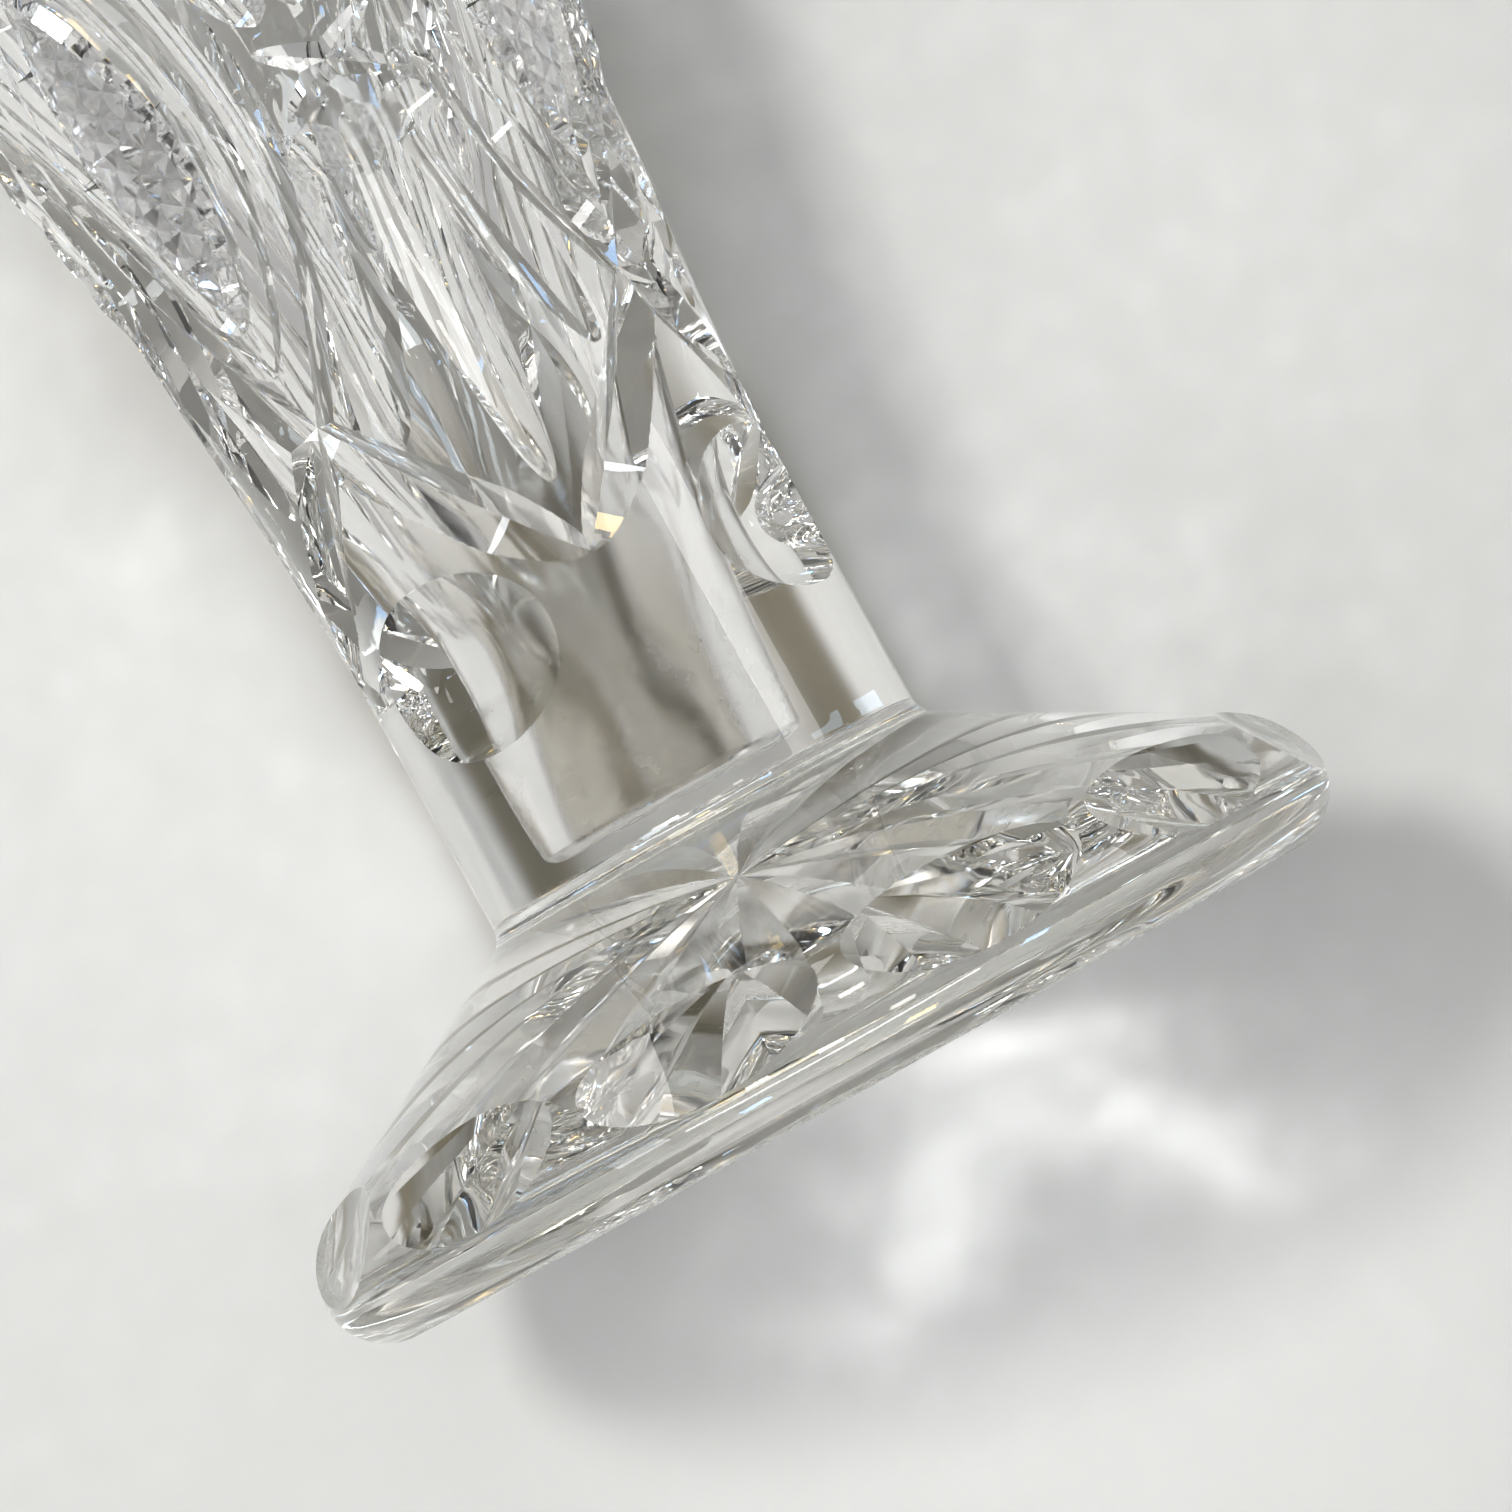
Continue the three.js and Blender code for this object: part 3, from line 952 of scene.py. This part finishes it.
def crystal():
    """Clear glass in a volume that takes a little light away along its path. Its roughness is the
    sum of three: the film's mark times two noises, the wear's mark times a noise, and a noise
    that counts only above the smudge level. The ripple is a noise as a bump."""
    material, nodes, links = new_material("cut_crystal")
    shader = nodes["Principled BSDF"]
    shader.inputs["Base Color"].default_value = clear_colour
    shader.inputs["IOR"].default_value = crystal_index
    shader.inputs["Transmission Weight"].default_value = 1.0

    def noise(scale, detail):
        """Smooth noise in the vase's own coordinates."""
        made = nodes.new("ShaderNodeTexNoise")
        made.inputs["Scale"].default_value = scale
        made.inputs["Detail"].default_value = detail
        links.new(place.outputs["Object"], made.inputs["Vector"])
        return made.outputs["Fac"]

    def plus(first, second):
        return maths(material, "ADD", first, second)

    def times(first, second):
        return maths(material, "MULTIPLY", first, second)

    place = nodes.new("ShaderNodeTexCoord")
    water_film_and_shade = kept_value(material, "water_film_and_shade")
    ring_wear = kept_value(material, "ring_wear")
    cloudy = plus(noise(*film_clouds), noise(*film_specks))
    film = times(times(water_film_and_shade, cloudy), film_roughness)
    wear = times(ring_wear, times(noise(*wear_scratches), 2 * wear_roughness))
    smudge = nodes.new("ShaderNodeMapRange")
    smudge.inputs["From Min"].default_value = smudge_level
    smudge.inputs["To Max"].default_value = smudge_roughness
    links.new(noise(*smudge_spots), smudge.inputs["Value"])
    links.new(plus(plus(film, wear), smudge.outputs["Result"]), shader.inputs["Roughness"])
    # The film's mask tints the glass grey: part cloudy film, part painted shade.
    links.new(mixed(material, water_film_and_shade, clear_colour, film_and_shade_colour), shader.inputs["Base Color"])
    ripple = nodes.new("ShaderNodeBump")
    ripple.inputs["Strength"].default_value = ripple_strength
    ripple.inputs["Distance"].default_value = ripple_distance
    links.new(noise(*ripple_waves), ripple.inputs["Height"])
    links.new(ripple.outputs["Normal"], shader.inputs["Normal"])
    haze = nodes.new("ShaderNodeVolumeAbsorption")
    haze.inputs["Color"].default_value = absorption_colour
    haze.inputs["Density"].default_value = absorption_density
    links.new(haze.outputs["Volume"], nodes["Material Output"].inputs["Volume"])
    return material


vase.data.materials.clear()
vase.data.materials.append(crystal())
print("material:", vase.data.materials[0].name)

# %% [markdown]
# ## Lamps
# One lamp high on the left gives the shadow, and a wide soft one fills it. Both face the vase's
# foot, so a lamp needs only a place, and its turn follows from that.

# %% Lamps
aim_height = 50


def facing_vase(right, up, front):
    """A place, by how far it is to the right, up the vase and to the front of it in millimetres,
    and the turn there that faces the vase's foot."""
    place = rightwards * right + Vector((0, 0, up)) + towards_camera * front
    return place, (Vector((0, 0, aim_height)) - place).to_track_quat("-Z", "Y").to_matrix()


def add_lamp(name, right, up, front, size, power, colour):
    """A square lamp that faces the vase's foot. It isn't seen itself, nor through the glass."""
    place, turn = facing_vase(right, up, front)
    data = bpy.data.lights.new(name, "AREA")
    data.size = size * mm
    data.energy = power
    data.color = colour
    lamp = add_object(name, data)
    lamp.matrix_world = Matrix.Translation(place * mm) @ turn.to_4x4()
    lamp.visible_camera = lamp.visible_transmission = False
    return lamp


key_place = (-265, 335, 1000)
key_size = 150
key_power = 5.0
key_colour = (1.0, 0.985, 0.96)
key_lamp = add_lamp("key_lamp", *key_place, key_size, key_power, key_colour)
fill_place = (-240, 60, 850)
fill_size = 800
fill_power = 3.9
fill_colour = (1.0, 1.0, 1.0)
fill_lamp = add_lamp("fill_lamp", *fill_place, fill_size, fill_power, fill_colour)
fill_lamp.visible_glossy = False
print("lamps:", key_lamp.name, "and", fill_lamp.name)

# %% [markdown]
# ## Cards
# Clear glass shows nothing but what is round it. Bright cards that only glass and gloss can see
# give the white edges and the sparks in the cuts, as a photographer of glass puts up cards
# beside the table: a window, two long strips, and two arcs of small sparks whose faint colours
# stand in for the rainbows that cut crystal throws. No spark is level with the stem, because a
# cylinder of glass draws it out into a white bar, apart from one faint blue one. Lamps could do
# the same, but the renderer would search each one for light at every point of the paper.

# %% Places of the cards
# Each card's place to the right, up and to the front, its width and height, glow and colour.
white, sky, amber = (1.0, 0.99, 0.97), (0.35, 0.60, 1.0), (1.0, 0.72, 0.30)
cards = {
    "window_card": (-420, 420, 900, 260, 260, 9, (0.80, 0.91, 1.0)),
    "right_card": (650, 150, 350, 260, 260, 4, white),
    "top_card": (-60, 800, 300, 260, 260, 4, white),
    "low_card": (-500, -320, 500, 160, 160, 4, (0.85, 0.93, 1.0)),
    "high_strip": (0, 640, 660, 1200, 50, 14, (0.90, 0.96, 1.0)),
    "low_strip": (0, -520, 700, 1000, 40, 14, white),
    "stem_spark": (-330, 30, 900, 45, 110, 6, (0.62, 0.80, 1.0)),
}
spark_count = 14
spark_arc = 110
spark_size = 85
spark_glow = 15
spark_colours = (white, sky, white, amber)
spark_places = ((420, 860), (720, 520))  # away from the axis, and to the front
half_count = spark_count // 2
for k in range(spark_count):
    turn = spark_arc * ((k % half_count) / (half_count - 1) - 0.5) + (90 if k < half_count else 270)
    turn = math.radians(turn)
    wide, front = spark_places[k % len(spark_places)]
    place = (wide * math.cos(turn), wide * math.sin(turn), front)
    colour = spark_colours[k % len(spark_colours)]
    cards[f"spark_{k + 1:02d}"] = (*place, spark_size, spark_size, spark_glow, colour)
print("the first card is the", next(iter(cards)))

# %% [markdown]
# All cards are one mesh, because each face can keep its own light as a colour. The lamps' search
# for light leaves the mesh out.

# %% Cards


def add_cards():
    """All cards in one mesh: a square's corners are its place plus and minus half its sides, and
    each face keeps the light that it gives."""
    corners, faces, lights = [], [], []
    for right, up, front, wide, tall, glow, colour in cards.values():
        place, turn = facing_vase(right, up, front)
        across, along = turn.col[0] * wide / 2, turn.col[1] * tall / 2
        faces.append(tuple(range(len(corners), len(corners) + 4)))
        corners += [corner * mm for corner in (place - across - along, place + across - along,
                                               place + across + along, place - across + along)]
        lights += [glow * part for part in colour] + [1]
    mesh = bpy.data.meshes.new("cards")
    mesh.from_pydata(corners, [], faces)
    mesh.attributes.new("card_light", "FLOAT_COLOR", "FACE").data.foreach_set("color", lights)
    glowing, nodes, links = new_material("card_light")
    glowing.cycles.emission_sampling = "NONE"
    nodes.remove(nodes["Principled BSDF"])
    glow = nodes.new("ShaderNodeEmission")
    links.new(kept_value(glowing, "card_light", "Color"), glow.inputs["Color"])
    links.new(glow.outputs["Emission"], nodes["Material Output"].inputs["Surface"])
    mesh.materials.append(glowing)
    sheets = add_object("cards", mesh)
    sheets.visible_camera = sheets.visible_diffuse = sheets.visible_shadow = False
    return sheets


glowing_cards = add_cards()
print("cards that only glass sees:", len(glowing_cards.data.polygons))

# %% [markdown]
# ## Surroundings
# An even world would make clear glass vanish, and a picture of a room would be far heavier than
# what the glass needs. So the world's brightness has contrast by height alone: pale in a wide
# belt round the upright vase, a dark band above and below that, and pale again at the poles.

# %% Surroundings
belt_edge = 0.42
dark_start = 0.52
dark_end = 0.90
pole_edge = 0.97
belt_light = 0.47
dark_light = 0.03
world_tint = (1, 0.99, 0.975)


def add_world():
    """Brightness by how far a direction points up or down the vase, which is the absolute value
    of its height: belt, dark band, pole, with straight ramps between them."""
    world = bpy.data.worlds.new("surroundings")
    bpy.context.scene.world = world
    world.use_nodes = True
    nodes, links = world.node_tree.nodes, world.node_tree.links
    direction = nodes.new("ShaderNodeTexCoord")
    split = nodes.new("ShaderNodeSeparateXYZ")
    size = nodes.new("ShaderNodeMath")
    size.operation = "ABSOLUTE"
    ramp = nodes.new("ShaderNodeValToRGB")
    stops = ((belt_edge, belt_light), (dark_start, dark_light),
             (dark_end, dark_light), (pole_edge, belt_light))
    while len(ramp.color_ramp.elements) < len(stops):
        ramp.color_ramp.elements.new(1)
    for element, (place, light) in zip(ramp.color_ramp.elements, stops):
        element.position = place
        element.color = (*(light * part for part in world_tint), 1)
    links.new(direction.outputs["Generated"], split.inputs["Vector"])
    links.new(split.outputs["Z"], size.inputs[0])
    links.new(size.outputs["Value"], ramp.inputs["Fac"])
    links.new(ramp.outputs["Color"], nodes["Background"].inputs["Color"])


add_world()
bpy.context.scene.view_settings.view_transform = "Standard"
bounces = 32
cycles = bpy.context.scene.cycles
cycles.max_bounces = cycles.transmission_bounces = cycles.glossy_bounces = bounces
print("world from", dark_light, "to", belt_light, "and light bends up to", bounces, "times")

# %% [markdown]
# ## Paper
# The vase lies on a sheet of pale paper, so in the vase's own upright frame the paper is a
# plane behind it that touches the foot's rim and the mouth. A single square would do for a plain
# sheet. This one is a fine grid near the vase, because its points will keep values.

# %% The sheet of paper
paper_size = 440
fine_right = (-110, 130)
fine_up = (-70, 190)
paper_step = 1.0
paper_gap = 0.3

lean = math.atan2(mouth_radius - foot_radius, vase_height - rim_lower_radius)
paper_up = Vector((0, 0, math.cos(lean))) - towards_camera * math.sin(lean)
paper_normal = rightwards.cross(paper_up)
paper_touch = Vector((0, 0, rim_lower_radius)) - towards_camera * (foot_radius + paper_gap)


def paper_lines(low, high):
    """Places of grid lines: fine ones from low to high, and one at each far edge of the sheet."""
    fine = np.arange(low, high + paper_step / 2, paper_step)
    return np.concatenate([[-paper_size / 2], fine, [paper_size / 2]])


def sheet_grid():
    """How far each point of the sheet's grid lies across and along it."""
    return np.meshgrid(paper_lines(*fine_right), paper_lines(*fine_up))


def on_paper(across, along):
    """Points of the sheet: the place where the rim touches it, plus ways across and along."""
    points = np.array(paper_touch) + across[..., None] * np.array(rightwards)
    return (points + along[..., None] * np.array(paper_up)).reshape(-1, 3)


def add_paper():
    """A flat grid that faces the camera's side."""
    across, along = sheet_grid()
    index = np.arange(across.size).reshape(across.shape)
    faces = np.stack([index[:-1, :-1], index[:-1, 1:], index[1:, 1:], index[1:, :-1]], -1)
    paper = add_mesh("paper", (on_paper(across, along), faces.reshape(-1, 4).tolist()))
    return paper


paper = add_paper()
print("paper faces", [round(n, 3) for n in paper.data.polygons[0].normal])

# %% [markdown]
# A path tracer finds the bright lines beside a glass only by luck. They are worked out here
# instead: rays leave the lamp, bend through the vase by Snell's law, and land on the paper. The
# paper's points keep how much light fell round them, and its finish glows by as much.

# %% One ray through the glass
ray_nudge = 0.001
most_bends = 14


def follow(tree, start, ray):
    """Follows a ray through the glass to the paper. At each surface it bends by Snell's law and
    loses Fresnel's share, or turns back where it is too slanting to get out. Inside, it fades as
    an exponential of the way. Returns where it lands, across and along the sheet, and the share
    of light left, or nothing."""
    inside, share = False, 1.0
    fading = absorption_density * (1 - sum(absorption_colour[:3]) / 3) * mm
    for bend in range(most_bends):
        place, normal, _, distance = tree.ray_cast(start, ray)
        if not inside and ray.dot(paper_normal) < 0:
            to_paper = (paper_touch - start).dot(paper_normal) / ray.dot(paper_normal)
            if place is None or to_paper < distance:
                landed = start + ray * to_paper - paper_touch
                return None if bend == 0 else (landed.dot(rightwards), landed.dot(paper_up), share)
        if place is None:
            return None
        if inside:
            share *= math.exp(-fading * distance)
        slant = -ray.dot(normal)
        index = crystal_index if slant > 0 else 1 / crystal_index
        if slant < 0:
            normal, slant = -normal, -slant
        inner = 1 - (1 - slant * slant) / (index * index)
        if inner <= 0:
            ray = ray + normal * (2 * slant)
        else:
            inner = math.sqrt(inner)
            across = (slant - index * inner) / (slant + index * inner)
            along = (index * slant - inner) / (index * slant + inner)
            share *= 1 - (across * across + along * along) / 2
            ray = ray / index + normal * (slant / index - inner)
            inside = not inside
        ray.normalize()
        start = place + ray * ray_nudge
    return None


print("a ray is followed through at most", most_bends, "surfaces")

# %% [markdown]
# One ray for each small square of the paper shows where light gathers. The rays start at random
# places on the lamp, so the lines are as soft as its size makes them.

# %% Light that the glass throws on the paper
ray_step = 0.6
ray_seed = 7
blur_spread = 1.3
blur_reach = 4


def thrown_light():
    """Rays from random places on the lamp, each aimed at its own square of the paper. What lands
    is counted in the paper's fine grid, so that one is the lamp's full light, then spread by a
    small Gaussian blur."""
    faces = [tuple(face.vertices) for face in vase.data.polygons]
    tree = BVHTree.FromPolygons(points_of(vase.data).tolist(), faces)
    chance = np.random.default_rng(ray_seed)
    across, along = np.meshgrid(np.arange(*fine_right, ray_step), np.arange(*fine_up, ray_step))
    goals = on_paper(across, along)
    turn = np.array(key_lamp.matrix_world.to_3x3())
    places = chance.uniform(-key_size / 2, key_size / 2, (len(goals), 2)) @ turn[:, :2].T
    places = places + np.array(key_lamp.matrix_world.translation) / mm
    landed = []
    for place, goal in zip(places, goals):
        start = Vector(place)
        found = follow(tree, start, (Vector(goal) - start).normalized())
        if found:
            landed.append(found)
    landed = np.array(landed)
    lines = [np.arange(low - paper_step / 2, high + paper_step, paper_step)
             for low, high in (fine_up, fine_right)]
    light, _, _ = np.histogram2d(landed[:, 1], landed[:, 0], lines, weights=landed[:, 2])
    light *= (ray_step / paper_step) ** 2
    reach = np.arange(-blur_reach, blur_reach + 1) * paper_step
    weights = np.exp(-reach**2 / 2 / blur_spread**2)
    weights /= weights.sum()
    for axis in (0, 1):
        light = np.apply_along_axis(np.convolve, axis, light, weights, "same")
    print(len(landed), "rays came through the glass, brightest place", round(light.max(), 2))
    return np.pad(light, 1)


light_on_paper = thrown_light()

# %% [markdown]
# The paper right behind the vase is closed in, and gets less of the soft light than the open
# sheet. A soft painted shade stands for that, with a lighter line down its middle, because a
# stem of solid glass gathers light like a lens. A few bell curves are enough for that.

# %% Painted shade behind the vase
# Each patch of painted shade: its middle to the right and up, half width, half height, share.
painted_shades = {
    "behind_neck": (0, 27, 27, 10, 0.30),
    "behind_body": (0, 74, 28, 24, 0.5),
    "behind_flare": (0, 118, 35, 28, 0.45),
    "left_of_line": (-17.5, 44, 8, 32, 0.88),
    "right_of_line": (17.5, 44, 8, 32, 0.88),
}


def painted_contact_shade():
    """How much light the painted shade leaves on the paper right behind the vase. Each patch takes
    a share away by a flat-topped bell curve: the exponential of minus the fourth powers of the ways
    from its middle over its half width and half height. What the patches leave is multiplied."""
    across, along = sheet_grid()
    height = along + rim_lower_radius
    left = np.ones_like(across)
    for right, up, wide, tall, share in painted_shades.values():
        left *= 1 - share * np.exp(-(((across - right) / wide) ** 4) - ((height - up) / tall) ** 4)
    return left


kept_on_paper = {"thrown_light": light_on_paper, "painted_contact_shade": painted_contact_shade()}
for name, values in kept_on_paper.items():
    kept = paper.data.attributes.new(name, "FLOAT", "POINT")
    kept.data.foreach_set("value", values.ravel())
print("darkest shade leaves", round(float(kept_on_paper["painted_contact_shade"].min()), 2))

# %% [markdown]
# Paper is matt and has no gloss to speak of. Its two kept values colour it: the painted shade
# mixes in a warm dark tone, and the thrown light makes it glow. Its back is left clear, because it
# would hide the vase from behind. What a matt white sheet sends back of the lamp's light is the
# power times the cosine of the slant, over the square of pi times the distance.

# %% Paper finish
paper_colour = (0.72, 0.725, 0.715, 1)
# The warm dark tone of the shade painted on the paper behind the vase.
painted_shade_colour = (0.09, 0.07, 0.02, 1)
paper_roughness = 0.9
key_throw = facing_vase(*key_place)[0] - paper_touch
key_slant = key_throw.normalized().dot(paper_normal)
key_light = key_power * key_slant / (math.pi * key_throw.length * mm) ** 2


def paper_material():
    """Matt pale paper on its front, warm and dark where shade is painted on it, nothing on its
    back.
    """
    material, nodes, links = new_material("paper")
    shader = nodes["Principled BSDF"]
    shader.inputs["Roughness"].default_value = paper_roughness
    shade = kept_value(material, "painted_contact_shade")
    # Painted shade: the kept value mixes the paper's colour towards the warm dark tone.
    shaded = mixed(material, shade, painted_shade_colour, paper_colour)
    links.new(shaded, shader.inputs["Base Color"])
    links.new(shaded, shader.inputs["Emission Color"])
    glow = maths(material, "MULTIPLY", kept_value(material, "thrown_light"), key_light)
    links.new(glow, shader.inputs["Emission Strength"])
    side = nodes.new("ShaderNodeNewGeometry")
    clear = nodes.new("ShaderNodeBsdfTransparent")
    mix = nodes.new("ShaderNodeMixShader")
    links.new(side.outputs["Backfacing"], mix.inputs["Fac"])
    links.new(shader.outputs["BSDF"], mix.inputs[1])
    links.new(clear.outputs["BSDF"], mix.inputs[2])
    links.new(mix.outputs["Shader"], nodes["Material Output"].inputs["Surface"])
    return material


paper.data.materials.append(paper_material())
print("the lamp's light on open paper:", round(key_light, 3))
